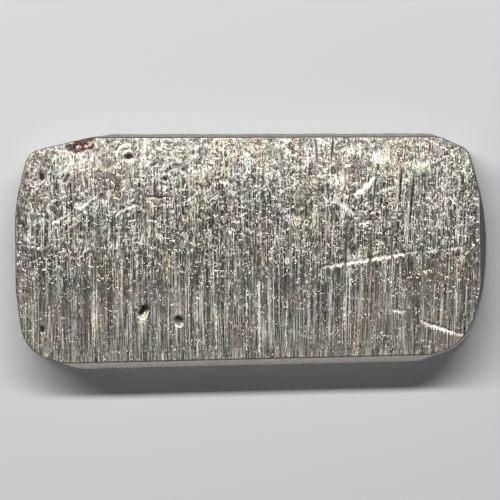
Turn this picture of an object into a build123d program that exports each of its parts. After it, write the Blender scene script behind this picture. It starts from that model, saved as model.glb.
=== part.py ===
from build123d import *
from math import cos, radians, sin, tan
import os

# A hand-poured ten-ounce silver bar, lying on its cast side with its ground face up.
# Millimetres. The origin is the centre of the underside, +X runs along the bar towards
# its narrower end, +Y towards the far long side, and +Z out of the ground face.

# Body: a slightly tapered loaf, widest at the underside
bar_length = 86.0
left_width = 43.6
right_width = 41.7
bar_thickness = 8.74
side_draft = 7.0
left_end_draft = 2.5
right_end_draft = 5.6
end_facet_foot = 2.0

# Arched ends, each one shallow arc between two turns, placed down from the long sides
left_arch_bulge = 0.75
left_far_turn_down = 11.8
left_near_turn_down = 10.9
right_arch_bulge = 1.0
right_far_turn_down = 10.5
right_near_turn_down = 11.7

# Corners: how far each bevel runs along the long side from the bar's end, and
# where its knee lies, measured in from the end and from the long side
far_left_run = 18.4
far_left_knee_in = 2.7
far_left_knee_down = 3.7
far_left_radius = 3.3
far_right_run = 10.4
far_right_knee_in = 2.9
far_right_knee_down = 3.3
far_right_radius = 2.4
near_right_run = 13.4
near_right_knee_in = 3.3
near_right_knee_down = 3.1
near_right_radius = 9.0
near_left_run = 12.0
near_left_knee_in = 1.7
near_left_knee_down = 3.4
near_left_radius = 7.0
shoulder_radius = 2.0

# Ground face: flat, rolling off towards the far long side
roll_off_width = 12.0
roll_off_drop = 0.4

# Rounded rim of the cast underside. The ground face has crisp edges.
cast_rim_radius = 1.2

# Blowholes that the grinding opened, placed from the left end and the near long side
left_blowhole_from_end = 23.7
left_blowhole_from_side = 10.2
left_blowhole_length = 2.5
left_blowhole_width = 1.3
left_blowhole_turn = 62.0
left_blowhole_depth = 0.55
right_blowhole_from_end = 30.1
right_blowhole_from_side = 8.3
right_blowhole_length = 1.9
right_blowhole_width = 1.5
right_blowhole_turn = 115.0
right_blowhole_depth = 0.4

# Lap that broke open beside the far left bevel, placed from the left end and the far side
lap_from_end = 12.0
lap_from_side = 2.7
lap_length = 5.4
lap_width = 1.3
lap_turn = 12.0
lap_depth = 0.3


def half_width(x):
    """Half the width of the underside at a distance x along the bar."""
    share = x / bar_length + 0.5
    return (left_width + (right_width - left_width) * share) / 2


def roll_off():
    """Where the face's roll-off starts across the bar, and its radius."""
    far_edge = half_width(0) - bar_thickness * tan(radians(side_draft))
    radius = (roll_off_width**2 + roll_off_drop**2) / (2 * roll_off_drop)
    return far_edge - roll_off_width, radius


def face_height(y):
    """Height of the ground face at a distance y across the bar."""
    start, radius = roll_off()
    past = max(y - start, 0)
    return bar_thickness - radius + (radius**2 - past**2) ** 0.5


def leaning_plane(start, end, draft):
    """The plane through a line, taken anticlockwise round the bar, that leans inwards as it rises."""
    along = (Vector(*end) - Vector(*start)).normalized()
    outward = along.cross(Vector(0, 0, 1))
    normal = outward * cos(radians(draft)) + Vector(0, 0, 1) * sin(radians(draft))
    return Plane(origin=start, x_dir=along, z_dir=normal)


def wall_planes():
    """The planes of the two leaning long sides and of the two end facets."""
    end = bar_length / 2
    left = half_width(-end)
    right = half_width(end)
    foot = end_facet_foot
    return [
        leaning_plane((-end, -left, 0), (end, -right, 0), side_draft),
        leaning_plane((end, -right, foot), (end, right, foot), right_end_draft),
        leaning_plane((end, right, 0), (-end, left, 0), side_draft),
        leaning_plane((-end, left, foot), (-end, -left, foot), left_end_draft),
    ]


def corner(end, side, run, knee_in, knee_down):
    """Where a corner's bevel leaves the long side, and the knee where it turns along the end."""
    start_x = end * (bar_length / 2 - run)
    knee_x = end * (bar_length / 2 - knee_in)
    start = Vector(start_x, side * half_width(start_x))
    knee = Vector(knee_x, side * (half_width(knee_x) - knee_down))
    return start, knee


def arch(end, bulge, far_down, near_down):
    """The turns at both ends of an end's arc and its crown between them, far side first."""
    crown_x = end * bar_length / 2
    turn_x = crown_x - end * bulge
    far = Vector(turn_x, half_width(turn_x) - far_down)
    near = Vector(turn_x, near_down - half_width(turn_x))
    return far, Vector(crown_x, (far.Y + near.Y) / 2), near


def plan_prism():
    """The upright block with the plan of the underside, with its bevelled corners and arched ends."""
    far_left, far_left_knee = corner(-1, 1, far_left_run, far_left_knee_in, far_left_knee_down)
    far_right, far_right_knee = corner(1, 1, far_right_run, far_right_knee_in, far_right_knee_down)
    near_right, near_right_knee = corner(1, -1, near_right_run, near_right_knee_in, near_right_knee_down)
    near_left, near_left_knee = corner(-1, -1, near_left_run, near_left_knee_in, near_left_knee_down)
    left_far, left_crown, left_near = arch(-1, left_arch_bulge, left_far_turn_down, left_near_turn_down)
    right_far, right_crown, right_near = arch(1, right_arch_bulge, right_far_turn_down, right_near_turn_down)
    edges = [
        Line(far_left, far_right),
        Line(far_right, far_right_knee),
        Line(far_right_knee, right_far),
        ThreePointArc(right_far, right_crown, right_near),
        Line(right_near, near_right_knee),
        Line(near_right_knee, near_right),
        Line(near_right, near_left),
        Line(near_left, near_left_knee),
        Line(near_left_knee, left_near),
        ThreePointArc(left_near, left_crown, left_far),
        Line(left_far, far_left_knee),
        Line(far_left_knee, far_left),
    ]
    outline = make_face(Wire(edges))
    knees = [
        (far_left_knee, far_left_radius),
        (far_right_knee, far_right_radius),
        (near_right_knee, near_right_radius),
        (near_left_knee, near_left_radius),
    ]
    for knee, radius in knees:
        vertex = outline.vertices().sort_by_distance(knee)[0]
        outline = fillet(vertex, radius)
    return extrude(outline, bar_thickness)


def face_section():
    """Everything below the ground face: a prism along the bar, reaching well past its sides."""
    start, radius = roll_off()
    reach = left_width
    low = face_height(reach)
    edges = [
        Line((-reach, 0), (-reach, bar_thickness)),
        Line((-reach, bar_thickness), (start, bar_thickness)),
        RadiusArc((start, bar_thickness), (reach, low), radius),
        Line((reach, low), (reach, 0)),
        Line((reach, 0), (-reach, 0)),
    ]
    section = make_face(Wire(edges))
    return extrude(Plane.YZ * section, bar_length, both=True)


def shoulder_edges(body):
    """The four rising edges where the long sides turn into the corner bevels."""
    walls = body.faces().filter_by(GeomType.PLANE).filter_by(lambda face: abs(face.normal_at().Z) < 0.5)
    long_sides = walls.sort_by(SortBy.AREA)[-2:]
    return long_sides.edges().filter_by(lambda edge: edge.bounding_box().size.Z > bar_thickness / 2)


def cast_body():
    """The poured and ground bar, before its flaws."""
    body = plan_prism()
    for plane in wall_planes():
        body = split(body, bisect_by=plane, keep=Keep.BOTTOM)
    body = body & face_section()
    body = fillet(shoulder_edges(body), shoulder_radius)
    underside = body.faces().sort_by(Axis.Z)[0]
    return fillet(underside.edges(), cast_rim_radius)


def pocket(from_end, side, from_side, length, width, turn, depth):
    """A hollow with a round bottom and round ends, as a ball rolled along it would leave."""
    x = from_end - bar_length / 2
    y = side * (half_width(x) - from_side)
    ball_radius = (width**2 / 4 + depth**2) / (2 * depth)
    plan = SlotCenterToCenter(length - width, 2 * ball_radius)
    rolled_ball = revolve(split(plan, bisect_by=Plane.XZ), Axis.X)
    return Pos(x, y, face_height(y) - depth + ball_radius) * Rot(0, 0, turn) * rolled_ball


def left_blowhole():
    """The larger blowhole, a slanted oval near the near long side."""
    return pocket(
        left_blowhole_from_end,
        -1,
        left_blowhole_from_side,
        left_blowhole_length,
        left_blowhole_width,
        left_blowhole_turn,
        left_blowhole_depth,
    )


def right_blowhole():
    """The smaller blowhole, beside the larger one."""
    return pocket(
        right_blowhole_from_end,
        -1,
        right_blowhole_from_side,
        right_blowhole_length,
        right_blowhole_width,
        right_blowhole_turn,
        right_blowhole_depth,
    )


def lap():
    """The opened lap, a shallow trough that follows the far left bevel."""
    return pocket(lap_from_end, 1, lap_from_side, lap_length, lap_width, lap_turn, lap_depth)


silver_bar = cast_body() - left_blowhole() - right_blowhole() - lap()
size = silver_bar.bounding_box().size
print(f"silver bar: {size.X:.2f} x {size.Y:.2f} x {size.Z:.2f} mm, {silver_bar.volume:.0f} cubic mm")

os.makedirs("parts", exist_ok=True)
export_step(silver_bar, "parts/silver_bar.step")
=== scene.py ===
import math
from functools import partial

import bmesh
import bpy
import numpy as np
from mathutils import Matrix, Vector
from mathutils.bvhtree import BVHTree
from mathutils.geometry import delaunay_2d_cdt


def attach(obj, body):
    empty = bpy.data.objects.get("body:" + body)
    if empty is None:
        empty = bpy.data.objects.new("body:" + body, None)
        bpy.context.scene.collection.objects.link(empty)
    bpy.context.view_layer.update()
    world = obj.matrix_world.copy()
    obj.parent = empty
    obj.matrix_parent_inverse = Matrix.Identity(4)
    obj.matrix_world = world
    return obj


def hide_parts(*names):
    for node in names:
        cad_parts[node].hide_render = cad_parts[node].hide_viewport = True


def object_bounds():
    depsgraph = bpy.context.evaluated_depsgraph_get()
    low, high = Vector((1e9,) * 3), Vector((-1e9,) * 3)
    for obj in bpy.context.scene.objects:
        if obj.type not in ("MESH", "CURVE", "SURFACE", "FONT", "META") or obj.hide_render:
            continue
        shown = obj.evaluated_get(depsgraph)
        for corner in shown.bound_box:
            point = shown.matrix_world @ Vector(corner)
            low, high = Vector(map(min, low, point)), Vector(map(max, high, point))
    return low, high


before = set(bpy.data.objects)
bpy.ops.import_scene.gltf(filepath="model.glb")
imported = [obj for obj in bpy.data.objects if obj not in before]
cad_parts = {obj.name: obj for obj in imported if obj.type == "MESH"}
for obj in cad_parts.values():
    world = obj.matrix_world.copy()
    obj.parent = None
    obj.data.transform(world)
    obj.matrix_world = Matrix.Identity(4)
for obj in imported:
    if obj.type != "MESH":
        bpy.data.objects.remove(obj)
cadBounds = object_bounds()
mm = 0.001  # the bar is written in millimetres, its stage in metres

# The silver bar. One cast piece: a ground face on top, cast skin on its sides and underside.
bar = {
    "node": "silver_bar",
    "columns": 460,  # cells along the ground face
    "rows": 160,  # cells across it
    "edgeRound": 0.13,  # wear on the ground face's edge
    # painted shade along the ground face's edge
    "edgeShade": 0.92,
    "endShade": 1.0,  # painted shade on the right end's wall, from this x on
    "endFrom": 39.9,
    "endFade": 2.2,
    "farDarkening": 0.3,  # darker on the far wall, from this y on
    "farFrom": 18.0,
    "farFade": 1.5,
    "edgeSteps": 3,
    "wallSteps": 8,
    "rimRadius": 1.2,  # rounding of the cast underside
    "rimSteps": 5,
    "rimTopShare": 1.15,  # the walls end above the rim, at this share of its radius
    "rimLeanOver": 0.4,  # height over which a wall's lean is taken
    "rayHeight": 20.0,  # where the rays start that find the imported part: this high,
    "rayReach": 8.0,  # or this far outside the face's edge
    "flatFrom": 0.85,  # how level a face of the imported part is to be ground
    "steepTo": 0.5,  # and how level a wall may be
    "outlinePasses": 16,  # smoothing of the face's outline, of the walls and of the grid
    "wallPasses": 10,
    "gridPasses": 40,
    "undersideCell": 1.3,
    "rollOffWidth": 12.0,  # the ground face dips towards the far side over this much
    "middleHalf": 5.0,  # half of the stretch where the dip is measured
    "pocketFrom": 0.04,  # what reaches less far below the face isn't a pocket
    "lapFilled": 0.75,  # share of the lap that folded skin fills
}

# What the belt and the mould left on it, the inputs of the relief tree
relief = {
    "Line Spacing": 0.42,
    "Line Length": 34.0,
    "Line Depth": 0.030,
    "Line Lean": 2.6,  # degrees, towards the right end
    "Skin Size": 0.85,
    "Skin Depth": 0.085,
    "Skin Near": 0.70,  # how high the cast skin's lows reach: less is more skin
    "Skin Far": 0.46,
    "Wall Ripple Size": 3.2,
    "Wall Ripple Depth": 0.12,
    "Wall Grain Size": 0.8,
    "Wall Grain Depth": 0.04,
    "Seed": 4.0,
}

# Flaws of the ground face. Points are x, y on the face, and what a row
# leaves out is set by the function that makes it.
furrows = {  # open to the far side, where the light comes from
    "longGouge": dict(
        points=[(12.7, -3.7), (14.7, -3.4), (17.3, -2.9), (20.0, -2.6), (24.4, -1.8), (27.7, -1.4),
                (31.0, -1.1)],
        width=0.75, depth=0.1, freshAndGlint=1.0, ragged=0.2),
    "longGougeTail": dict(
        points=[(30.0, -1.2), (34.3, -0.8), (38.2, -0.4), (40.2, -0.3)], freshAndGlint=0.75, ragged=0.16),
    "shortGouge": dict(
        points=[(30.9, -13.4), (32.5, -14.2), (34.7, -14.8), (36.7, -15.6), (39.0, -16.4)],
        width=0.75, depth=0.1, freshAndGlint=0.95, ragged=0.16),
    "leftLapArc": dict(
        points=[(-15.0, 13.6), (-14.0, 14.5), (-12.8, 14.7), (-11.8, 14.2), (-11.1, 13.3), (-10.0, 13.0)],
        width=0.46, depth=0.07, freshAndGlint=0.95),
    "rightLapArc": dict(
        points=[(-6.3, 11.5), (-5.6, 12.2), (-4.8, 12.5), (-3.9, 12.2), (-2.3, 11.3)],
        width=0.55, depth=0.07, freshAndGlint=0.8, ragged=0.1),
    "brightCurve": dict(
        points=[(-24.4, 6.0), (-23.4, 7.1), (-22.0, 7.7), (-20.4, 8.2), (-19.2, 7.4)],
        depth=0.07, freshAndGlint=1.0),
    "leftScratch": dict(
        points=[(-36.1, 4.9), (-35.1, 5.5), (-33.3, 6.5), (-31.9, 7.3)],
        depth=0.065, freshAndGlint=1.0, ragged=0.2),
    "leftScratchEnd": dict(
        points=[(-31.7, 7.4), (-30.3, 8.1), (-28.7, 9.4), (-26.9, 10.4)],
        depth=0.065, freshAndGlint=0.95, ragged=0.24),
    "eyeOuterRing": dict(
        points=[(-23.7, 16.3), (-24.0, 17.9), (-23.2, 19.1), (-22.0, 19.5), (-20.8, 19.1)],
        width=0.55, depth=0.07, ragged=0.1),
    "eyeInnerRing": dict(
        points=[(-22.9, 17.1), (-22.7, 18.0), (-21.8, 18.3), (-21.0, 17.8), (-20.7, 16.9)],
        width=0.42, depth=0.06, ragged=0.08),
    "eyeLowerRim": dict(
        points=[(-22.8, 16.6), (-22.2, 16.2), (-21.3, 16.2), (-20.8, 16.6)], width=0.45, ragged=0.08),
    "underCrack": dict(
        points=[(-18.6, 9.5), (-18.0, 8.7), (-17.3, 8.1)], width=0.42, freshAndGlint=0.8, ragged=0.14),
    "leftTick": dict(
        points=[(-33.3, 5.8), (-32.6, 6.2), (-31.5, 5.8)],
        width=0.38, depth=0.045, freshAndGlint=0.75, ragged=0.16),
    "leftLowTick": dict(
        points=[(-31.6, 2.6), (-31.0, 2.0), (-30.3, 1.8)], width=0.42, freshAndGlint=0.8, ragged=0.14),
    "leftLowTickTwo": dict(
        points=[(-30.5, -0.6), (-29.8, 0.3), (-28.9, 0.5)], width=0.42, freshAndGlint=0.8, ragged=0.14),
    "slitRim": dict(
        points=[(-32.3, 14.7), (-33.3, 14.0), (-33.9, 12.9), (-34.1, 12.0)], depth=0.06, freshAndGlint=0.85),
    "rightLens": dict(
        points=[(18.3, 9.3), (20.1, 10.1), (21.7, 11.6), (23.9, 13.7)],
        width=1.05, depth=0.08, freshAndGlint=0.93, ragged=0.45),
    "rightLensTail": dict(points=[(24.1, 10.2), (25.6, 10.6), (27.4, 11.4)], freshAndGlint=0.8, ragged=0.24),
    "rightBranch": dict(points=[(14.3, 8.7), (16.0, 8.5), (17.5, 7.7), (19.4, 6.0)], width=1.0, ragged=0.36),
    "rightTick": dict(
        points=[(19.9, 3.8), (20.6, 4.3), (21.4, 4.4), (22.4, 4.7)], width=0.7, depth=0.06, ragged=0.16),
    "overGouge": dict(
        points=[(22.3, -1.6), (23.0, -1.0), (24.0, -0.6)], width=0.55, freshAndGlint=0.85, ragged=0.16),
    "overGougeTwo": dict(points=[(23.4, 0.4), (24.1, 0.8), (24.8, 0.7)], width=0.6, freshAndGlint=0.85, ragged=0.16),
    "underGouge": dict(points=[(31.8, -4.9), (32.3, -4.5), (33.1, -4.3)], freshAndGlint=0.85),
    "middleTick": dict(points=[(7.4, 14.5), (8.4, 14.9), (9.4, 14.7)], freshAndGlint=0.7),
    "lowTick": dict(points=[(26.0, -11.6), (27.1, -11.8), (28.5, -11.8)], width=0.6, depth=0.07, freshAndGlint=0.95),
    "flankTick": dict(
        points=[(-42.0, 3.2), (-41.5, 3.0), (-41.0, 2.2)], width=0.4, depth=0.04, freshAndGlint=0.6, ragged=0.1),
}
slits = {  # narrow cracks and grooves
    # the lap's outlines: painted shade
    "lapLowerShadeLine": dict(
        points=[(-33.2, 18.6), (-32.6, 18.3), (-31.8, 17.9), (-30.9, 18.1), (-29.2, 18.6), (-28.3, 18.9)],
        width=0.3, depth=0.03, stainAndShade=0.8),
    "lapUpperShadeLine": dict(
        points=[(-30.8, 19.9), (-29.8, 20.2), (-29.0, 20.1), (-27.8, 20.1)],
        width=0.3, depth=0.03, stainAndShade=0.8),
    "crack": dict(
        points=[(-19.0, 9.6), (-17.3, 9.7), (-16.3, 9.4), (-15.4, 9.6), (-13.7, 9.7)],
        width=0.26, depth=0.1, stainAndShade=1.0),
    "crackBranch": dict(points=[(-17.0, 11.4), (-17.0, 9.6)], depth=0.06),
    "crackStart": dict(points=[(-19.6, 11.3), (-18.7, 11.2)], depth=0.05),
    "leftSlit": dict(points=[(-32.8, 14.1), (-33.2, 13.2), (-33.8, 12.3)], width=0.4, depth=0.08),
    "overLeftArc": dict(
        points=[(-13.7, 15.1), (-13.0, 15.4), (-12.3, 15.3)], width=0.34, depth=0.06, stainAndShade=0.8),
    "farSlit": dict(points=[(-17.7, 15.3), (-16.8, 15.7)], width=0.36, depth=0.06, stainAndShade=0.85),
    "firstGroove": dict(points=[(23.5, 14.1), (22.6, 6.2)], width=0.26),
    "secondGroove": dict(points=[(28.0, 14.2), (27.6, 8.1)], width=0.26, stainAndShade=1.0),
    "thirdGroove": dict(points=[(30.2, 12.8), (29.4, 3.9)], width=0.26, stainAndShade=1.0),
    "fourthGroove": dict(points=[(17.9, 6.2), (17.5, -4.8)]),
    "fifthGroove": dict(points=[(7.8, 12.2), (7.3, -11.8)], width=0.2, depth=0.02, stainAndShade=0.6),
    "sixthGroove": dict(points=[(1.3, 3.7), (0.9, -4.6)], depth=0.03),
    "seventhGroove": dict(points=[(22.6, 5.2), (21.8, -7.2)]),
    "eighthGroove": dict(points=[(26.3, 4.2), (25.9, -4.2)]),
    "ninthGroove": dict(points=[(12.4, 19.6), (12.7, 15.2)], width=0.26, stainAndShade=0.8),
    "tenthGroove": dict(points=[(15.6, 19.6), (15.2, 16.2)], width=0.3),
}
pits = {  # their sizes are half lengths and half widths, their turns degrees
    "eyePit": dict(at=(-21.8, 17.0), size=(1.05, 0.6), turn=-4, depth=0.16, stainAndShade=1.0),
    "leftPit": dict(at=(-37.7, 13.5), size=(0.95, 0.6), turn=110, depth=0.15, stainAndShade=1.0),
    "middlePit": dict(at=(-15.2, 12.9), size=(0.6, 0.5), turn=60, depth=0.15, stainAndShade=1.0),
    "lowPit": dict(at=(-37.9, -14.3), size=(0.85, 0.55), turn=100, depth=0.14, stainAndShade=1.0),
    "speck": dict(at=(-0.7, -4.7), size=(0.3, 0.22), turn=20, depth=0.08, stainAndShade=0.9),
    "farPit": dict(at=(-10.1, 17.4), size=(0.5, 0.3), turn=140, depth=0.1, stainAndShade=0.8),
}
colourMarks = {  # colour only: how dark (stains and painted shade), how coppery, how bright (painted highlight) or golden
    "lapLeftShade": dict(at=(-32.3, 18.9), size=(1.0, 0.65), turn=15, stainAndShade=0.75),
    "lapCopper": dict(at=(-30.5, 19.0), size=(3.4, 1.4), turn=13, copper=1.0),
    # the blowholes: painted shade on their far walls, painted highlight on the walls that face the lamp
    "leftBlowholeShade": dict(at=(-19.4, -11.05), size=(1.3, 0.62), turn=38, stainAndShade=1.0, copper=0.1),
    "leftBlowholeGoldHighlight": dict(at=(-19.5, -12.2), size=(0.95, 0.95), freshAndGlint=1.0, gold=1.0),
    "leftBlowholeTailHighlight": dict(at=(-19.8, -13.4), size=(0.28, 0.55), freshAndGlint=0.95, gold=0.6),
    "leftBlowholeTailTwoHighlight": dict(at=(-19.2, -13.3), size=(0.26, 0.5), freshAndGlint=0.9, gold=0.8),
    "rightBlowholeShade": dict(at=(-13.0, -12.6), size=(1.2, 0.5), turn=-28, stainAndShade=0.95),
    "rightBlowholeMiddleShade": dict(at=(-13.0, -13.25), size=(0.8, 0.75), turn=-20, stainAndShade=0.72),
}
covers = {  # where the belt left more of the cast skin, or less
    "farLeft": dict(at=(-33.0, 16.6), size=(7.5, 4.5), amount=0.06),
    "leftPatch": dict(at=(-30.8, 8.0), size=(1.7, 1.2), amount=0.15),
    "leftPatchTwo": dict(at=(-25.6, 10.1), size=(1.3, 1.1), amount=0.2),
    "eyeRing": dict(at=(-22.3, 18.3), size=(2.6, 1.7), amount=0.16),
    "rightBank": dict(at=(21.0, 17.2), size=(4.5, 2.6), amount=0.12),
    "rightBankTwo": dict(at=(12.0, 9.7), size=(4.5, 3.0), amount=0.08),
    "lowLeft": dict(at=(-29.0, 2.1), size=(8.0, 3.5), amount=0.05),
    "rightEnd": dict(at=(36.0, 4.3), size=(5.0, 6.0), amount=-0.05),
    "leftEdge": dict(at=(-41.6, 5.0), size=(1.4, 13.0), amount=0.14),
    "rightEdge": dict(at=(40.9, -1.7), size=(1.2, 13.0), amount=0.12),
    "bareRight": dict(at=(29.0, 5.3), size=(6.0, 5.0), amount=-0.08),
}
patches = {  # painted highlights: brighter patches, in broken strokes
    "farRight": dict(at=(24.6, 16.4), size=(3.2, 2.1), amount=0.82),
    "farRightTwo": dict(at=(31.4, 14.6), size=(2.4, 1.5), amount=0.82),
    "farMiddle": dict(at=(19.3, 17.4), size=(2.2, 1.8)),
    "overBranch": dict(at=(16.3, 12.2), size=(2.3, 1.9)),
    "branchFar": dict(at=(16.0, 8.6), size=(2.0, 1.0)),
    "middleFar": dict(at=(8.2, 5.2), size=(1.9, 1.5), amount=0.75),
    "branch": dict(at=(17.0, 5.9), size=(1.4, 0.9)),
    "gougeBurr": dict(at=(19.6, -2.1), size=(3.0, 1.1)),
    "farCorner": dict(at=(40.2, 15.9), size=(0.8, 1.2), amount=0.6),
    "leftPatch": dict(at=(-30.8, 8.0), size=(1.6, 0.8), amount=0.85),
    "leftPatchTwo": dict(at=(-25.6, 10.1), size=(1.0, 0.9), amount=0.95),
    "eyeSide": dict(at=(-19.0, 16.3), size=(1.6, 1.0), amount=0.6),
    "farLeft": dict(at=(-31.5, 16.6), size=(6.5, 2.5), amount=0.5),
    "middleLow": dict(at=(7.2, -2.4), size=(1.5, 0.8), amount=0.7),
    "cross": dict(at=(-20.2, 1.6), size=(2.5, 1.5), amount=0.4),
}
streaks = {  # single bright lines: where they cross, and how far they run
    "first": dict(startX=1.8, run=(-5.8, -19.7), width=0.12, freshAndGlint=1.0),
    "second": dict(startX=-0.5, run=(-6.3, -19.8), width=0.105),
    "third": dict(startX=-6.1, run=(-8.8, -19.7), width=0.11),
    "fourth": dict(startX=-9.5, run=(-7.3, -19.9), width=0.105),
    "fifth": dict(startX=6.7, run=(-9.6, -19.3), width=0.105),
    "short": dict(startX=-3.5, run=(-5.4, -7.4), width=0.11),
    "shortTwo": dict(startX=-2.6, run=(-8.2, -10.6), width=0.11),
    "sixth": dict(startX=-28.4, run=(-6.9, -18.9), width=0.14, freshAndGlint=0.7),
    "seventh": dict(startX=17.4, run=(-8.2, -15.8), width=0.12, freshAndGlint=0.7),
}


def alongLine(points, x, y):
    # distance from a bent line, above it or below it, and the share of its length gone
    nearest = np.full(x.shape, 1e9)
    side = np.zeros(x.shape)
    share = np.zeros(x.shape)
    corners = np.array(points, float)
    lengths = np.linalg.norm(np.diff(corners, axis=0), axis=1)
    gone = np.concatenate([[0], np.cumsum(lengths)]) / lengths.sum()
    for start, end, length, before, after in zip(corners, corners[1:], lengths, gone, gone[1:]):
        along = (end - start) / length
        if along[0] < 0:
            across = np.array([along[1], -along[0]])
        else:
            across = np.array([-along[1], along[0]])
        step = (x - start[0]) * along[0] + (y - start[1]) * along[1]
        off = (x - start[0]) * across[0] + (y - start[1]) * across[1]
        beyond = np.maximum(np.maximum(-step, step - length), 0)
        distance = np.hypot(off, beyond)
        closer = distance < nearest
        nearest = np.where(closer, distance, nearest)
        side = np.where(closer, np.sign(off), side)
        share = np.where(closer, before + (after - before) * np.clip(step / length, 0, 1), share)
    return nearest, side, share


def ragging(x, y, amount):
    # a small uneven sway, so that no listed mark is smooth
    waves = np.sin(x * 4.1 + y) + 0.6 * np.sin(x * 9.7 - y * 2.3) + 0.5 * np.sin(x * 15.1 + y * 5.3)
    return amount * waves / 2


def mark(marks, name, amount, inside):
    # a mark never takes away from a stronger one
    marks[name] = np.maximum(marks[name], amount * np.clip(inside, 0, 1))


def cutFurrow(marks, x, y, points, width=0.5, depth=0.05, freshAndGlint=0.9, ragged=0.12):
    # a plough mark: a wide wall that faces the far side and a short steep one
    nearest, side, share = alongLine(points, x, y + ragging(x, y, ragged))
    taper = np.sin(np.pi * share) ** 0.45
    wide = width * (0.35 + 0.65 * taper)
    inWide = np.clip(1 - nearest / (0.75 * wide), 0, 1)
    inSteep = np.clip(1 - nearest / (0.3 * wide), 0, 1)
    inside = np.where(side < 0, inWide, inSteep) * taper
    marks["cut"] += depth * inside
    # fresh silver and painted highlight in the furrow
    mark(marks, "freshAndGlint", freshAndGlint, inside * 3)


def cutSlit(marks, x, y, points, width=0.24, depth=0.04, stainAndShade=0.9):
    # a narrow groove, black with tarnish and painted shade
    nearest, _, share = alongLine(points, x + ragging(y, x, 0.05), y + ragging(x, y, 0.08))
    taper = np.sin(np.pi * share) ** 0.7
    inside = np.clip(1 - nearest / (width * (0.4 + 0.6 * taper)), 0, 1)
    marks["cut"] += depth * inside
    mark(marks, "stainAndShade", stainAndShade, inside * 5)


def within(x, y, at, size, turn):
    # 1 in the middle of a turned oval, 0 on its edge and below 0 outside
    angle = math.radians(turn)
    along = (x - at[0]) * math.cos(angle) + (y - at[1]) * math.sin(angle)
    across = (y - at[1]) * math.cos(angle) - (x - at[0]) * math.sin(angle)
    return 1 - np.hypot(along / size[0], across / size[1])


def sinkPit(marks, x, y, at, size, turn, depth, stainAndShade):
    # a small hollow, its bottom darkened with tarnish and painted shade
    inside = within(x + ragging(y, x, 0.15), y + ragging(x, y, 0.15), at, size, turn)
    marks["cut"] += depth * np.clip(inside * 1.6, 0, 1)
    mark(marks, "stainAndShade", stainAndShade, inside * 4)


def paintColourMark(marks, x, y, at, size, turn=0, stainAndShade=0, copper=0, freshAndGlint=0, gold=0):
    # colours without any depth: stains, painted shade and painted highlight
    inside = within(x + ragging(y, x, 0.3), y + ragging(x, y, 0.3), at, size, turn) * 4
    for name, amount in (("stainAndShade", stainAndShade), ("copper", copper), ("freshAndGlint", freshAndGlint), ("gold", gold)):
        mark(marks, name, amount, inside)


def leaveSkin(marks, x, y, at, size, amount):
    # more cast skin, or less where the amount is below 0
    marks["cover"] += amount * np.clip(within(x, y, at, size, 0) + 0.5, 0, 1)


def highlightPatch(marks, x, y, at, size, amount=0.8):
    # a patch of painted highlight, in broken strokes
    mark(marks, "freshAndGlint", amount, within(x, y, at, size, 10) * 1.5)


def scratchStreak(marks, x, y, startX, run, width, freshAndGlint=0.9):
    # one bright line across the bar
    nearest, _, share = alongLine([(startX, run[0]), (startX - 0.1, run[1])], x, y)
    near = np.clip(1.8 - nearest / width, 0, 1) * np.clip(np.sin(np.pi * share) * 3, 0, 1)
    mark(marks, "freshAndGlint", freshAndGlint, near)


def cadShell(nodeName):
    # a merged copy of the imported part, so that its faces know their neighbours
    shell = bmesh.new()
    shell.from_mesh(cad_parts[nodeName].data)
    bmesh.ops.remove_doubles(shell, verts=shell.verts, dist=1e-6)
    shell.normal_update()
    return shell


def groundOutline(shell):
    # the edge round the ground face, flat on one side and steep on the other
    following = {}
    for edge in shell.edges:
        flat, steep = sorted(edge.link_faces, key=lambda face: -face.normal.z)
        if flat.normal.z > bar["flatFrom"] and abs(steep.normal.z) < bar["steepTo"]:
            for loop in flat.loops:
                if loop.edge == edge:
                    following[loop.vert] = loop.link_loop_next.vert
    outlines = []
    while following:
        vert = next(iter(following))
        line = []
        while vert in following:
            line.append(vert.co / mm)
            vert = following.pop(vert)
        outlines.append(np.array(line))
    return max(outlines, key=lambda line: np.ptp(line[:, 0]))


def evenly(points, count):
    # the same line with evenly spaced points
    gone = np.concatenate([[0], np.cumsum(np.linalg.norm(np.diff(points, axis=0), axis=1))])
    wanted = np.linspace(0, gone[-1], count)
    return np.stack([np.interp(wanted, gone, column) for column in points.T], axis=1)


def softened(ring, passes):
    # rounds off the facets of a closed ring
    for _ in range(passes):
        ring = (np.roll(ring, 1, axis=0) + 2 * ring + np.roll(ring, -1, axis=0)) / 4
    return ring


def outlineRing(outline):
    # evenly spaced round the face, starting at its near left corner and going anticlockwise
    halfSize = np.abs(outline[:, :2]).max(axis=0)
    corners = [
        int(np.argmax(outline[:, 0] * along / halfSize[0] + outline[:, 1] * across / halfSize[1]))
        for along, across in ((-1, -1), (1, -1), (1, 1), (-1, 1))
    ]
    counts = (bar["columns"], bar["rows"], bar["columns"], bar["rows"])
    sides = []
    for start, end, count in zip(corners, corners[1:] + corners[:1], counts):
        if end < start:
            stretch = np.concatenate([outline[start:], outline[:end + 1]])
        else:
            stretch = outline[start:end + 1]
        sides.append(evenly(stretch, count + 1)[:-1])
    return softened(np.concatenate(sides), bar["outlinePasses"])


def outwards(ring):
    # the level direction out of the bar at each point of a ring
    along = np.roll(ring, -1, axis=0) - np.roll(ring, 1, axis=0)
    out = np.stack([along[:, 1], -along[:, 0]], axis=1)
    return out / np.linalg.norm(out, axis=1)[:, None]


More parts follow.
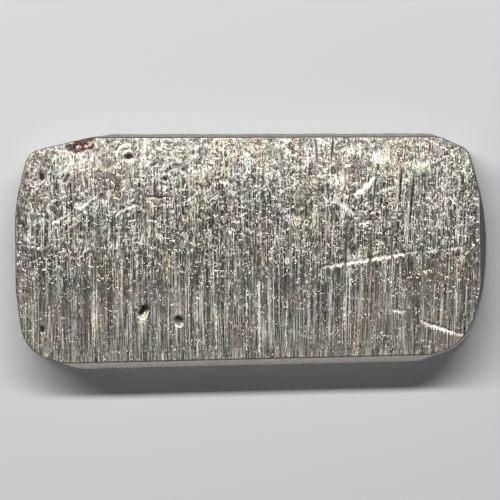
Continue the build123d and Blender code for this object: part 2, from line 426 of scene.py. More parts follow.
def gridInside(ring):
    # fills a closed ring with rows and columns, then evens them out
    columns = bar["columns"]
    rows = bar["rows"]
    near = ring[:columns + 1]
    right = ring[columns:columns + rows + 1]
    far = ring[columns + rows:2 * columns + rows + 1][::-1]
    left = np.concatenate([ring[2 * columns + rows:], ring[:1]])[::-1]
    u = np.linspace(0, 1, columns + 1)[:, None, None]
    v = np.linspace(0, 1, rows + 1)[None, :, None]
    grid = (1 - v) * near[:, None] + v * far[:, None] + (1 - u) * left[None] + u * right[None]
    grid -= (1 - u) * ((1 - v) * near[0] + v * far[0]) + u * ((1 - v) * near[-1] + v * far[-1])
    for _ in range(bar["gridPasses"]):
        inner = grid[:-2, 1:-1] + grid[2:, 1:-1] + grid[1:-1, :-2] + grid[1:-1, 2:]
        grid[1:-1, 1:-1] = inner / 4
    return grid


def gridIndices():
    columns = bar["columns"] + 1
    rows = bar["rows"] + 1
    return np.arange(columns * rows).reshape(columns, rows)


def edgeIndices():
    # the grid's own edge, in the ring's order
    index = gridIndices()
    return np.concatenate([index[:-1, 0], index[-1, :-1], index[:0:-1, -1], index[0, :0:-1]])


def rollOffHeight(y, farEdge, top, drop):
    # the face is flat, then falls off in one long arc
    width = bar["rollOffWidth"]
    radius = (width**2 + drop**2) / (2 * drop)
    past = np.clip(y - (farEdge - width), 0, None)
    return top - radius + np.sqrt(radius**2 - past**2)


def pocketDepths(tree, grid, heights):
    # how far the blowholes and the lap reach below the face
    below = np.zeros(heights.shape)
    down = Vector((0, 0, -1))
    for i, j in np.ndindex(heights.shape):
        start = Vector((*grid[i, j], bar["rayHeight"])) * mm
        hit = tree.ray_cast(start, down)[0]
        if hit is not None:
            below[i, j] = heights[i, j] - hit.z / mm
    below = np.where(below > bar["pocketFrom"], below, 0)
    return below * np.where(grid[..., 1] > 0, 1 - bar["lapFilled"], 1)


def wallDistance(tree, ring, out, level):
    # how far the wall stands outside the ring at a level
    found = []
    levels = np.broadcast_to(level, len(ring))
    for point, way, height in zip(ring + out * bar["rayReach"], out, levels):
        start = Vector((*point, height)) * mm
        hit = tree.ray_cast(start, Vector((*-way, 0)))[0]
        found.append(bar["rayReach"] - (start - hit).length / mm)
    return softened(np.array(found), bar["wallPasses"])


def ringAt(ring, out, distance, levels):
    return np.column_stack([ring + out * np.reshape(distance, (-1, 1)), levels])


def wallRings(tree, ring, out, topHeights):
    # rings from under the ground face's edge down the wall and round the rim
    radius = bar["rimRadius"]
    rings = []
    steps = bar["wallSteps"]
    rimTop = radius * bar["rimTopShare"]
    for step in range(1, steps + 1):
        share = step / steps
        levels = topHeights * (1 - share) + rimTop * share
        distance = wallDistance(tree, ring, out, levels)
        rings.append(ringAt(ring, out, distance, levels))
    lower = wallDistance(tree, ring, out, rimTop)
    upper = wallDistance(tree, ring, out, rimTop + bar["rimLeanOver"])
    lean = np.arctan((lower - upper) / bar["rimLeanOver"])
    reach = lower * np.cos(lean) + rimTop * np.sin(lean)
    centre = (reach - radius * np.sin(lean) - radius) / np.cos(lean)
    for step in range(1, bar["rimSteps"] + 1):
        angle = lean - (lean + math.pi / 2) * step / bar["rimSteps"]
        distance = centre + radius * np.cos(angle)
        levels = radius + radius * np.sin(angle)
        rings.append(ringAt(ring, out, distance, levels))
    return rings


def undersideMesh(ring, first):
    # triangles over the flat underside, joined to the last ring
    cell = bar["undersideCell"]
    low = ring[:, :2].min(axis=0)
    high = ring[:, :2].max(axis=0)
    middle = (low + high) / 2
    shrink = 1 - 1.1 * cell / ((high - low) / 2)
    edge = [Vector(point) for point in ring[:, :2]]
    inside = []
    outline = (ring[:, :2] - middle) * shrink + middle
    before = np.roll(outline, 1, axis=0)
    for i, x in enumerate(np.arange(low[0], high[0], cell)):
        for y in np.arange(low[1] + (i % 2) * cell / 2, high[1], cell):
            crosses = (outline[:, 1] > y) != (before[:, 1] > y)
            slope = (before[:, 0] - outline[:, 0]) / np.where(crosses, before[:, 1] - outline[:, 1], 1)
            hits = crosses & (x < outline[:, 0] + (y - outline[:, 1]) * slope)
            if hits.sum() % 2:
                inside.append(Vector((x, y)))
    loop = list(range(len(edge)))
    points, _, triangles, origins = delaunay_2d_cdt(edge + inside, [], [loop], 1, 1e-6)[:4]
    numbers = []
    extra = []
    for point, origin in zip(points, origins):
        known = [k for k in origin if k < len(edge)]
        if known:
            numbers.append(first + known[0])
        else:
            numbers.append(first + len(edge) + len(extra))
            extra.append((point.x, point.y, 0))
    faces = [tuple(numbers[k] for k in reversed(triangle)) for triangle in triangles]
    return np.array(extra), faces


def barMesh():
    shell = cadShell(bar["node"])
    tree = BVHTree.FromBMesh(shell)
    outline = groundOutline(shell)
    shell.free()
    ring3 = outlineRing(outline)
    ring = ring3[:, :2]
    out = outwards(ring)
    top = cadBounds[1].z / mm
    farSide = (np.abs(ring[:, 0]) < bar["middleHalf"]) & (ring[:, 1] > 0)
    farEdge = ring[farSide, 1].mean()
    drop = top - ring3[farSide, 2].mean()
    long, wide = np.ptp(ring, axis=0)
    print(f"ground face: {long:.1f} x {wide:.1f} mm, {drop:.2f} mm lower on the far side")

    edgeRound = bar["edgeRound"]
    grid = gridInside(ring - out * edgeRound)
    heights = rollOffHeight(grid[..., 1], farEdge, top, drop)
    pockets = pocketDepths(tree, grid, heights)
    print(f"pockets: {int((pockets > 0).sum())} points, deepest {pockets.max():.2f} mm")
    verts = [np.concatenate([grid, (heights - pockets)[..., None]], axis=2).reshape(-1, 3)]
    edge = edgeIndices()
    edgeHeights = verts[0][edge, 2]
    rings = []
    for step in range(1, bar["edgeSteps"] + 1):
        angle = math.pi / 2 * step / bar["edgeSteps"]
        inset = edgeRound * (1 - math.sin(angle))
        levels = edgeHeights - edgeRound * (1 - math.cos(angle))
        rings.append(ringAt(ring, out, -inset, levels))
    groundRings = len(rings)
    rings += wallRings(tree, ring, out, edgeHeights - edgeRound)
    verts += rings
    index = gridIndices()
    quads = np.stack([index[:-1, :-1], index[1:, :-1], index[1:, 1:], index[:-1, 1:]], axis=-1)
    faces = quads.reshape(-1, 4).tolist()
    above = edge
    first = len(verts[0])
    for _ in rings:
        below = np.arange(first, first + len(ring))
        faces += np.stack([above, below, np.roll(below, -1), np.roll(above, -1)], axis=1).tolist()
        above = below
        first += len(ring)
    extra, triangles = undersideMesh(rings[-1], first - len(ring))
    verts.append(extra)
    faces += triangles
    points = np.concatenate(verts)
    mesh = bpy.data.meshes.new("silverBarShape")
    mesh.from_pydata((points * mm).tolist(), [], faces)
    mesh.update()
    mesh.shade_smooth()
    onFace = len(verts[0]) + groundRings * len(ring)
    print(f"bar mesh: {len(points)} points, {sum(len(face) - 2 for face in faces)} triangles")
    return mesh, points, len(verts[0]), onFace


def markFace(mesh, points, edgeStart, onFace):
    # the listed flaws, as one value for each point
    names = ("ground", "cut", "freshAndGlint", "stainAndShade", "copper", "gold", "cover")
    marks = {name: np.zeros(len(points)) for name in names}
    marks["ground"][:onFace] = 1
    # painted shade: a dark line round the ground face's edge
    marks["stainAndShade"][edgeStart:onFace] = bar["edgeShade"]
    marks["stainAndShade"][edgeIndices()] = bar["edgeShade"]
    wall = points[onFace:]
    # painted shade on the right end's wall
    past = wall[:, 0] - bar["endFrom"] + ragging(0.2 * wall[:, 1], 0.3 * wall[:, 2], 0.7)
    rightWall = np.clip(past / bar["endFade"], 0, 1)
    # the far wall darker, from farFrom on
    farWall = np.clip((wall[:, 1] - bar["farFrom"]) / bar["farFade"], 0, 1)
    marks["stainAndShade"][onFace:] = np.maximum(bar["endShade"] * rightWall, bar["farDarkening"] * farWall)
    x = points[:onFace, 0]
    y = points[:onFace, 1]
    face = {name: values[:onFace] for name, values in marks.items()}
    kinds = ((furrows, cutFurrow), (slits, cutSlit), (pits, sinkPit), (colourMarks, paintColourMark),
             (covers, leaveSkin), (patches, highlightPatch), (streaks, scratchStreak))
    for flaws, make in kinds:
        for flaw in flaws.values():
            make(face, x, y, **flaw)
    for name, values in face.items():
        marks[name][:onFace] = values
    for name, values in marks.items():
        mesh.attributes.new(name, "FLOAT", "POINT").data.foreach_set("value", values.astype(np.float32))


def addObject(name, data):
    item = bpy.data.objects.new(name, data)
    bpy.context.scene.collection.objects.link(item)
    return item


# Small helpers for node trees. They all add to the tree that was begun last.
begun = {"tree": None}


def join(value, socket):
    if isinstance(value, bpy.types.NodeSocket):
        begun["tree"].links.new(value, socket)
    else:
        socket.default_value = value


def add(kind, sockets=None, **settings):
    node = begun["tree"].nodes.new(kind)
    for name, value in settings.items():
        setattr(node, name, value)
    for name, value in (sockets or {}).items():
        join(value, node.inputs[name])
    return node


def calc(operation, *values, clamp=False):
    sockets = dict(enumerate(values))
    return add("ShaderNodeMath", sockets, operation=operation, use_clamp=clamp).outputs[0]


times = partial(calc, "MULTIPLY")
timesPlus = partial(calc, "MULTIPLY_ADD")
over = partial(calc, "DIVIDE")
plus = partial(calc, "ADD")
minus = partial(calc, "SUBTRACT")
larger = partial(calc, "MAXIMUM")


def weighted(*layers):
    # the sum of pairs of a value and its weight
    total = times(*layers[0])
    for value, weight in layers[1:]:
        total = timesPlus(value, weight, total)
    return total


def spread(value, low, high, newLow=0.0, newHigh=1.0, curve="LINEAR"):
    sockets = {"Value": value, "From Min": low, "From Max": high, "To Min": newLow, "To Max": newHigh}
    return add("ShaderNodeMapRange", sockets, interpolation_type=curve).outputs[0]


smooth = partial(spread, curve="SMOOTHSTEP")


def noise(vector, detail=2.0, roughness=0.5, distortion=0.0):
    sockets = {"Vector": vector, "Scale": 1.0, "Detail": detail, "Roughness": roughness,
               "Distortion": distortion}
    return add("ShaderNodeTexNoise", sockets).outputs[0]


def spot(x, y, z):
    return add("ShaderNodeCombineXYZ", {"X": x, "Y": y, "Z": z}).outputs[0]


def parts(vector):
    return add("ShaderNodeSeparateXYZ", {"Vector": vector}).outputs


def stretched(x, y, wide, long, layer):
    # where to read a noise whose grain is this wide and long
    return spot(over(x, wide), over(y, long), layer)


def scaled(vector, factor):
    return add("ShaderNodeVectorMath", {"Vector": vector, "Scale": factor}, operation="SCALE").outputs[0]


def newSocket(label, side):
    # a number, unless its name is one of these
    kinds = {"Geometry": "Geometry", "Vector": "Vector", "Color": "Color",
             "Ground Silver": "Material", "Cast Silver": "Material"}
    kind = "NodeSocket" + kinds.get(label, "Float")
    return begun["tree"].interface.new_socket(label, in_out=side, socket_type=kind)


def newGroup(name, inputs, kind="ShaderNodeTree"):
    # begins a group with these inputs, each with its value or None
    begun["tree"] = bpy.data.node_groups.new(name, kind)
    for label, value in inputs.items():
        socket = newSocket(label, "INPUT")
        if value is not None:
            socket.default_value = value
    return add("NodeGroupInput").outputs


def finishGroup(results):
    for label in results:
        newSocket(label, "OUTPUT")
    add("NodeGroupOutput", results)
    return begun["tree"]


def place(group, sockets):
    return add("ShaderNodeGroup", sockets, node_tree=group).outputs


def leaned(x, y, lean):
    # the belt's lines lean over towards the right end of the bar
    share = smooth(x, 2.0, 26.0)
    slope = calc("TANGENT", calc("RADIANS", lean))
    return minus(x, times(times(share, slope), y))


def lineHeight(x, y, spacing, length, seed):
    # long lines of three widths, from 0 in a groove to 1 on a crest
    total = 0.0
    for share, wide, long, detail in ((0.50, 1.0, 1.0, 1.0), (0.30, 0.6, 0.5, 0.0), (0.20, 4.0, 2.0, 1.0)):
        where = stretched(x, y, times(spacing, wide), times(length, long), plus(seed, wide * 10))
        total = timesPlus(noise(where, detail, 0.6), share, total)
    return spread(total, 0.34, 0.66)


def reliefTree():
    inputs = {"Geometry": None, **relief, "Ground Silver": None, "Cast Silver": None}
    given = newGroup("castAndGroundRelief", inputs, "GeometryNodeTree")

    def stored(name):
        return add("GeometryNodeInputNamedAttribute", {"Name": name}, data_type="FLOAT").outputs[0]

    x, y, z = parts(scaled(add("GeometryNodeInputPosition").outputs[0], 1 / mm))
    seed = given["Seed"]
    ground = stored("ground")

    # the belt's lines
    across = leaned(x, y, given["Line Lean"])
    lines = lineHeight(across, y, given["Line Spacing"], given["Line Length"], seed)
    lineDepth = times(minus(1.0, lines), given["Line Depth"])

    # lows of the cast skin that the belt didn't reach
    size = given["Skin Size"]
    drawn = times(size, 1.45)  # the belt drew it out
    crumple = noise(stretched(x, y, size, drawn, seed), 5.0, 0.70, 0.35)
    level = spread(y, -18.0, 20.0, given["Skin Near"], given["Skin Far"])
    drift = noise(stretched(x, y, 9.0, 6.0, seed))
    level = minus(level, spread(drift, 0.3, 0.7, -0.07, 0.07))
    level = minus(level, stored("cover"))
    level = timesPlus(minus(0.5, lines), 0.24, level)
    skin = smooth(minus(crumple, level), -0.015, 0.03)
    floor = noise(stretched(x, y, size, drawn, plus(seed, 3.0)), 4.0, 0.62, 0.3)
    skinDepth = times(spread(floor, 0.2, 0.8), given["Skin Depth"])
    faceDepth = timesPlus(minus(skinDepth, lineDepth), skin, lineDepth)
    faceDepth = larger(plus(faceDepth, stored("cut")), 0.0)

    # the mould's skin on the walls and underside
    rippleSize = given["Wall Ripple Size"]
    grainSize = given["Wall Grain Size"]
    ripple = noise(stretched(x, y, rippleSize, rippleSize, over(z, rippleSize)), 3.0, 0.55)
    grain = noise(stretched(x, y, grainSize, grainSize, over(z, grainSize)), 2.0, 0.6)
    castDepth = times(spread(ripple, 0.45, 0.80), given["Wall Ripple Depth"])
    castDepth = timesPlus(spread(grain, 0.45, 0.75), given["Wall Grain Depth"], castDepth)

    depth = timesPlus(minus(faceDepth, castDepth), ground, castDepth)
    inwards = scaled(add("GeometryNodeInputNormal").outputs[0], times(depth, -mm))

    sockets = {"Geometry": given["Geometry"], "Name": "skin", "Value": times(skin, ground)}
    store = add("GeometryNodeStoreNamedAttribute", sockets, data_type="FLOAT", domain="POINT")
    sockets = {"Geometry": store.outputs[0], "Offset": inwards}
    body = add("GeometryNodeSetPosition", sockets).outputs[0]
    body = add("GeometryNodeRealizeInstances", {"Geometry": body}).outputs[0]
    onGround = add("FunctionNodeCompare", {"A": ground, "B": 0.5}, operation="GREATER_THAN").outputs[0]
    offGround = add("FunctionNodeBooleanMath", {0: onGround}, operation="NOT").outputs[0]
    for selection, material in ((onGround, "Ground Silver"), (offGround, "Cast Silver")):
        sockets = {"Geometry": body, "Selection": selection, "Material": given[material]}
        body = add("GeometryNodeSetMaterial", sockets).outputs[0]
    return finishGroup({"Geometry": body})


def dressedBar(groundSilver, castSilver):
    mesh, points, edgeStart, onFace = barMesh()
    markFace(mesh, points, edgeStart, onFace)
    rough = addObject("roughBar", mesh)
    modifier = rough.modifiers.new("relief", "NODES")
    tree = reliefTree()
    modifier.node_group = tree
    given = {**relief, "Ground Silver": groundSilver, "Cast Silver": castSilver}
    for item in tree.interface.items_tree:
        if item.in_out == "INPUT" and item.name in given:
            modifier[item.identifier] = given[item.name]
    evaluated = rough.evaluated_get(bpy.context.evaluated_depsgraph_get())
    finished = bpy.data.meshes.new_from_object(evaluated)
    rough.modifiers.remove(modifier)
    bpy.data.objects.remove(rough)
    bpy.data.meshes.remove(mesh)
    finished.name = "silverBar"
    print(f"silver bar: {len(finished.polygons)} faces after the relief")
    return addObject("silverBar", finished)


# Finishes. Colours are linear.
silver = {
    "crest": (0.86, 0.805, 0.71, 1),
    "groove": (0.150, 0.134, 0.110, 1),
    "skin": (0.76, 0.705, 0.61, 1),
    "freshAndGlint": (0.98, 0.95, 0.86, 1),
    "stainAndShade": (0.05, 0.045, 0.045, 1),
    "copper": (0.26, 0.155, 0.12, 1),
    "copperBright": (0.80, 0.66, 0.59, 1),
    "burnt": (0.075, 0.045, 0.035, 1),
    "gold": (0.78, 0.73, 0.54, 1),
    "cast": (0.53, 0.495, 0.47, 1),
    "castDark": (0.29, 0.275, 0.265, 1),
    "warm": (1.05, 1.0, 0.89, 1),
    "green": (0.94, 1.01, 0.95, 1),
    "rose": (1.07, 0.95, 0.94, 1),
}
roughness = {
    "groove": 0.24, "crest": 0.37, "skin": 0.27, "fleck": 0.45, "freshAndGlint": 0.52, "tarnished": 0.7,
    "glintAdds": 0.12, "nearAdds": 0.028, "castDark": 0.58, "cast": 0.42,
}
bumps = {"lines": 0.014, "skin": 0.025, "cast": 0.11}
belt = {  # the layers of lines in the ground face's colours
    "coarse": {"Spacing": relief["Line Spacing"], "Length": relief["Line Length"], "Seed": relief["Seed"]},
    "bands": {"Spacing": 1.1, "Length": 24.0, "Seed": 83.0},
    "fine": {"Spacing": 0.22, "Length": 16.0, "Seed": 31.0},
    "hair": {"Spacing": 0.125, "Seed": 57.0},
}
hairLengths = (3.2, 9.0)  # far away and near


def mixColour(factor, first, second, blend="MIX"):
    sockets = {0: factor, 6: first, 7: second}
    return add("ShaderNodeMix", sockets, data_type="RGBA", blend_type=blend).outputs[2]


def mixValue(factor, first, second):
    return add("ShaderNodeMix", {0: factor, 2: first, 3: second}).outputs[0]


def grindLinesGroup():
    given = newGroup("grindLines", {
        "Vector": None, "Spacing": 0.4, "Length": 10.0, "Lean": 0.0, "Seed": 0.0,
    })
    x, y, _ = parts(given["Vector"])
    across = leaned(x, y, given["Lean"])
    height = lineHeight(across, y, given["Spacing"], given["Length"], given["Seed"])
    return finishGroup({
        "Height": height, "Crest": smooth(height, 0.60, 0.88), "Groove": smooth(height, 0.36, 0.10),
    })


def castGrainGroup():
    given = newGroup("castGrain", {"Vector": None, "Size": 0.5})
    where = scaled(given["Vector"], over(1.0, given["Size"]))
    return finishGroup({
        "Height": noise(where, 4.0, 0.62, 0.5),
        "Speck": smooth(noise(where, 3.0, 0.75, 1.4), 0.40, 0.29),
        "Speckle": spread(noise(scaled(where, 1.6), 1.0), 0.3, 0.7),
    })


def glintFlecksGroup():
    # bright flecks: painted glints, also rougher and raised in the bump, more of them towards the far side
    given = newGroup("glintFlecks", {"Vector": None, "Wide": 0.27, "Long": 0.55})
    x, y, _ = parts(given["Vector"])
    layer = noise(stretched(x, y, given["Wide"], given["Long"], 11.0), 2.0, 0.6, 0.3)
    limit = spread(y, -16.0, 14.0, 0.67, 0.545)
    fold = noise(stretched(x, y, 3.4, 2.6, 5.0), 2.0, 0.55, 0.6)
    ridge = spread(calc("ABSOLUTE", minus(fold, 0.5)), 0.09, 0.0)
    limit = minus(limit, spread(ridge, 0.0, 1.0, -0.05, 0.09))
    return finishGroup({"Fleck": smooth(minus(layer, limit), 0.0, 0.08), "Ridge": ridge})


def scuffsGroup():
    # short wandering marks, where the belt dragged burrs over the skin
    given = newGroup("scuffs", {"Vector": None, "Size": 1.0})
    x, y, _ = parts(given["Vector"])
    size = given["Size"]
    path = noise(stretched(x, y, size, size, 21.0), 1.5, 0.5, 0.4)
    line = spread(calc("ABSOLUTE", minus(path, 0.5)), 0.030, 0.004)
    breaks = noise(stretched(x, y, size, size, 43.0))
    limit = spread(y, -13.0, 3.0, 0.66, 0.52)
    kept = spread(minus(breaks, limit), 0.0, 0.06)
    return finishGroup({"Scuff": times(line, kept), "Kept": kept})


def silverTarnishAndShadeGroup():
    # tarnish tints and tone, then the stains and painted shade darken it
    given = newGroup("silverTarnishAndShade", {"Color": silver["cast"], "Vector": None, "Amount": 1.0, "Stain And Shade": 0.0})
    colour = given["Color"]
    x, y, z = parts(given["Vector"])
    for number, tint in enumerate(("warm", "green", "rose")):
        patch = noise(stretched(x, y, 4.0, 9.0, plus(z, 7.0 * number)), 3.0, 0.6)
        factor = times(smooth(patch, 0.48, 0.66), given["Amount"])
        colour = mixColour(factor, colour, silver[tint], "MULTIPLY")
    film = noise(stretched(x, y, 1.6, 2.8, z), 3.0, 0.6)
    darkest = spread(y, -12.0, 2.0, 0.86, 0.68)
    brightest = spread(y, -12.0, 2.0, 1.12, 1.28)
    tone = spread(film, 0.34, 0.66, darkest, brightest)
    colour = mixColour(given["Amount"], colour, tone, "MULTIPLY")
    colour.node.clamp_result = True
    colour = mixColour(given["Stain And Shade"], colour, silver["stainAndShade"])
    return finishGroup({"Color": colour, "Dulled": given["Stain And Shade"]})


def copperStainGroup():
    given = newGroup("copperStain", {"Color": silver["cast"], "Vector": None, "Mask": 0.0})
    patchy = noise(scaled(given["Vector"], 1.5), 3.0, 0.65, 0.8)
    mottled = mixColour(spread(patchy, 0.56, 0.50), silver["copperBright"], silver["copper"])
    mottled = mixColour(spread(patchy, 0.48, 0.42), mottled, silver["burnt"])
    return finishGroup({
        "Color": mixColour(given["Mask"], given["Color"], mottled), "Dulled": times(given["Mask"], 0.8),
    })


def newMaterial(name):
    material = bpy.data.materials.new(name)
    material.use_nodes = True
    begun["tree"] = material.node_tree
    begun["tree"].nodes.clear()
    return material


def finishMaterial(material, sockets):
    shader = add("ShaderNodeBsdfPrincipled", sockets)
    add("ShaderNodeOutputMaterial", {"Surface": shader.outputs[0]})
    return material


def bumped(height):
    return add("ShaderNodeBump", {"Strength": 1.0, "Distance": mm, "Height": height}).outputs[0]


def attribute(name):
    return add("ShaderNodeAttribute", attribute_name=name, attribute_type="GEOMETRY").outputs["Fac"]


def objectPlace():
    return scaled(add("ShaderNodeTexCoord").outputs["Object"], 1 / mm)


def groundSilverMaterial(groups):
    material = newMaterial("groundSilver")
    here = objectPlace()
    x, y, _ = parts(here)
    wander = minus(noise(stretched(x, y, 7.0, 7.0, 3.0)), 0.5)
    near = spread(timesPlus(wander, 16.0, y), -4.0, -10.5)

    def lines(name, **changed):
        sockets = {"Vector": here, "Lean": relief["Line Lean"], **belt[name], **changed}
        return place(groups["grindLines"], sockets)

    # what lies on the face
    coarse = lines("coarse")
    bands = lines("bands")
    fine = lines("fine")
    hair = lines("hair", Length=mixValue(near, *hairLengths))
    drawn = add("ShaderNodeVectorMath", {0: here, 1: (1.1, 0.36, 1.0)}, operation="MULTIPLY").outputs[0]
    grain = place(groups["castGrain"], {"Vector": drawn, "Size": 0.32})
    speckle = minus(grain["Speckle"], 0.5)
    flecks = place(groups["glintFlecks"], {"Vector": here})
    scuffs = place(groups["scuffs"], {"Vector": here, "Size": 0.9})
    skin = attribute("skin")

    # fresh silver and painted highlight: the listed marks, in broken strokes, the scuffs and the painted
    # highlights on the rims of the lows
    strokes = minus(plus(hair["Height"], grain["Speckle"]), 1.0)
    bare = attribute("freshAndGlint")
    broken = spread(timesPlus(strokes, 1.2, bare), 0.42, 0.85)
    broken = times(broken, spread(bare, 0.0, 0.25, 0.3, 1.0))
    freshAndGlint = larger(larger(broken, spread(bare, 0.80, 0.92)), scuffs["Scuff"])
    rim = spread(calc("ABSOLUTE", minus(skin, 0.5)), 0.46, 0.22)
    freshAndGlint = larger(freshAndGlint, times(rim, times(scuffs["Kept"], flecks["Ridge"])))

    # how bright the ground lines are
    shine = weighted(
        (coarse["Height"], mixValue(near, 0.15, 0.06)),
        (bands["Height"], mixValue(near, 0.16, 0.13)),
        (fine["Height"], mixValue(near, 0.36, 0.14)),
        (hair["Height"], mixValue(near, 0.44, 0.62)),
    )
    glint = larger(smooth(shine, 0.60, 0.76), flecks["Fleck"])
    reach = spread(y, -6.0, 12.0, 0.24, 0.36)
    reach = times(reach, spread(flecks["Ridge"], 0.0, 1.0, 0.55, 1.6))
    shine = timesPlus(speckle, reach, shine)
    fromMiddle = calc("ABSOLUTE", plus(y, 5.0))
    calm = smooth(fromMiddle, 7.0, 0.0, 0.0, 0.10)
    darkest = minus(mixValue(near, 0.29, 0.17), calm)
    brightest = plus(mixValue(near, 0.80, 0.655), calm)
    # the flecks' painted glints brighten the lines
    shine = timesPlus(flecks["Fleck"], 0.8, spread(shine, darkest, brightest), clamp=True)
    colour = mixColour(shine, silver["groove"], silver["crest"])
    colour = mixColour(glint, colour, silver["freshAndGlint"])

    # the lows of the cast skin, which the belt only dragged over
    dragged = weighted(
        (coarse["Height"], 0.15), (fine["Height"], 0.35), (hair["Height"], 0.50), (speckle, 0.45))
    lowest = spread(y, -5.0, 18.0, 0.21, 0.08)
    skinColour = mixColour(spread(dragged, lowest, 0.60), silver["groove"], silver["skin"])
    skinColour = mixColour(times(hair["Crest"], 0.7), skinColour, silver["crest"])
    colour = mixColour(skin, colour, skinColour)
    grooves = times(fine["Groove"], mixValue(near, 0.45, 0.22))
    colour = mixColour(grooves, colour, silver["groove"])
    bright = mixColour(attribute("gold"), silver["freshAndGlint"], silver["gold"])
    colour = mixColour(freshAndGlint, colour, bright)
    copper = place(groups["copperStain"], {"Color": colour, "Vector": here, "Mask": attribute("copper")})
    # stains and painted shade: the face's edge, pits, slits, the lap and the blowholes
    tarnishAndShade = place(groups["silverTarnishAndShade"], {
        "Color": copper["Color"], "Vector": here, "Amount": 0.75, "Stain And Shade": attribute("stainAndShade"),
    })

    rough = mixValue(calc("POWER", shine, 2.0), roughness["groove"], roughness["crest"])
    rough = timesPlus(glint, roughness["glintAdds"], rough)
    rough = timesPlus(near, roughness["nearAdds"], rough)
    skinRough = mixValue(flecks["Fleck"], roughness["skin"], roughness["fleck"])
    rough = mixValue(skin, rough, skinRough)
    rough = mixValue(freshAndGlint, rough, roughness["freshAndGlint"])
    rough = mixValue(larger(tarnishAndShade["Dulled"], copper["Dulled"]), rough, roughness["tarnished"])

    raised = weighted((fine["Height"], 1.0), (hair["Height"], 0.5), (flecks["Fleck"], 1.0))
    raised = times(raised, timesPlus(skin, -0.4, 1.0))
    raised = timesPlus(scuffs["Scuff"], 2.5, raised)
    skinRaised = times(times(grain["Height"], skin), bumps["skin"])
    return finishMaterial(material, {
        "Base Color": tarnishAndShade["Color"], "Metallic": 1.0, "Roughness": rough,
        "Normal": bumped(timesPlus(raised, bumps["lines"], skinRaised)),
    })


def castSilverMaterial(groups):
    material = newMaterial("castSilver")
    here = objectPlace()
    grain = place(groups["castGrain"], {"Vector": here, "Size": 0.38})
    broad = place(groups["castGrain"], {"Vector": here, "Size": 1.4})
    shade = spread(broad["Height"], 0.35, 0.62)
    shade = timesPlus(minus(grain["Speckle"], 0.5), 1.3, shade, clamp=True)
    shade = timesPlus(minus(broad["Speckle"], 0.5), 0.6, shade, clamp=True)
    colour = mixColour(shade, silver["castDark"], silver["cast"])
    # tarnish specks, the painted shade on the right end's wall and the darker far wall
    stainAndShade = larger(times(grain["Speck"], 0.5), attribute("stainAndShade"))
    tarnishAndShade = place(groups["silverTarnishAndShade"], {
        "Color": colour, "Vector": here, "Amount": 0.8, "Stain And Shade": stainAndShade,
    })
    return finishMaterial(material, {
        "Base Color": tarnishAndShade["Color"], "Metallic": 0.7,
        "Roughness": mixValue(shade, roughness["castDark"], roughness["cast"]),
        "Normal": bumped(times(grain["Height"], bumps["cast"])),
    })


# The stage, in metres: a pale floor, a long strip lamp past the far side, a low card on the
# near side and a plain grey sky
stage = {
    "floorSize": 1.2,
    "floorColour": (0.66, 0.66, 0.665, 1),
    "floorMottle": (0.7, 0.7, 0.7, 1),
    "floorRoughness": 0.9,
    "floorSpecular": 0.1,
    "sky": 0.060,
    "skyColour": (0.88, 1.0, 1.12, 1),
    "lampSize": (0.96, 0.052),
    "lampDistance": 0.55,
    "lampElevation": 57.0,  # degrees
    "lampShift": -0.150,  # towards the left end
    "lampPower": 4.72,
    "cardSize": (0.70, 0.012),  # it lights only what stands up from the face
    "cardDistance": 0.35,
    "cardElevation": 1.4,
    "cardShift": 0.0,
    "cardPower": 1.3,
    "viewWidth": 0.0915,  # across the picture
    "lens": 800.0,
    "sensor": 36.0,
    "viewTilt": (0.0576, -0.032),
    "viewTurn": 0.63,  # degrees
    "viewCentre": (-0.0003, -0.00008, 0.0),
}


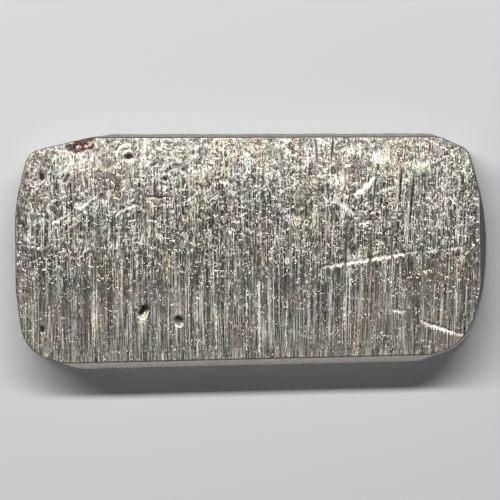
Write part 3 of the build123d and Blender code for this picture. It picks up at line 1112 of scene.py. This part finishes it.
def makeFloor():
    half = stage["floorSize"] / 2
    corners = [(-half, -half, 0), (half, -half, 0), (half, half, 0), (-half, half, 0)]
    mesh = bpy.data.meshes.new("paleFloor")
    mesh.from_pydata(corners, [], [(0, 1, 2, 3)])
    material = newMaterial("palePaper")
    mottle = spread(noise(objectPlace(), 3.0, 0.6), 0.3, 0.7, 0.0, 0.04)
    shade = mixColour(mottle, stage["floorColour"], stage["floorMottle"])
    mesh.materials.append(finishMaterial(material, {
        "Base Color": shade, "Roughness": stage["floorRoughness"],
        "Specular IOR Level": stage["floorSpecular"],
    }))
    addObject("paleFloor", mesh)


def makeLamp(name, kind, side):
    # side is 1 past the far side and -1 on the near one
    lamp = bpy.data.lights.new(name, "AREA")
    lamp.shape = "RECTANGLE"
    lamp.size, lamp.size_y = stage[kind + "Size"]
    lamp.energy = stage[kind + "Power"]
    holder = addObject(name, lamp)
    rise = math.radians(stage[kind + "Elevation"])
    distance = stage[kind + "Distance"]
    holder.location = (stage[kind + "Shift"], side * distance * math.cos(rise), distance * math.sin(rise))
    holder.rotation_euler = (side * (rise - math.pi / 2), 0, 0)
    holder.visible_camera = False


def makeLight():
    world = bpy.data.worlds.new("greySky")
    world.use_nodes = True
    background = world.node_tree.nodes["Background"]
    background.inputs["Color"].default_value = stage["skyColour"]
    background.inputs["Strength"].default_value = stage["sky"]
    bpy.context.scene.world = world
    makeLamp("stripLamp", "lamp", 1)
    makeLamp("nearCard", "card", -1)


def makeCamera():
    camera = bpy.data.cameras.new("topView")
    camera.lens = stage["lens"]
    camera.sensor_width = stage["sensor"]
    holder = addObject("topView", camera)
    back = Vector((*stage["viewTilt"], 1)).normalized()
    turn = math.radians(stage["viewTurn"])
    up = Vector((math.sin(turn), math.cos(turn), 0))
    right = up.cross(back).normalized()
    up = back.cross(right)
    distance = stage["lens"] / stage["sensor"] * stage["viewWidth"]
    place3 = Vector(stage["viewCentre"]) + back * distance
    holder.matrix_world = Matrix.Translation(place3) @ Matrix((right, up, back)).transposed().to_4x4()
    bpy.context.scene.camera = holder


bpy.context.scene.view_settings.view_transform = "Standard"
groups = {
    "grindLines": grindLinesGroup(),
    "castGrain": castGrainGroup(),
    "glintFlecks": glintFlecksGroup(),
    "scuffs": scuffsGroup(),
    "silverTarnishAndShade": silverTarnishAndShadeGroup(),
    "copperStain": copperStainGroup(),
}
print("finishes: groups made")
silverBar = dressedBar(groundSilverMaterial(groups), castSilverMaterial(groups))
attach(silverBar, "root")
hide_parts(bar["node"])
makeFloor()
makeLight()
makeCamera()
print("stage: floor, lamp and camera made")
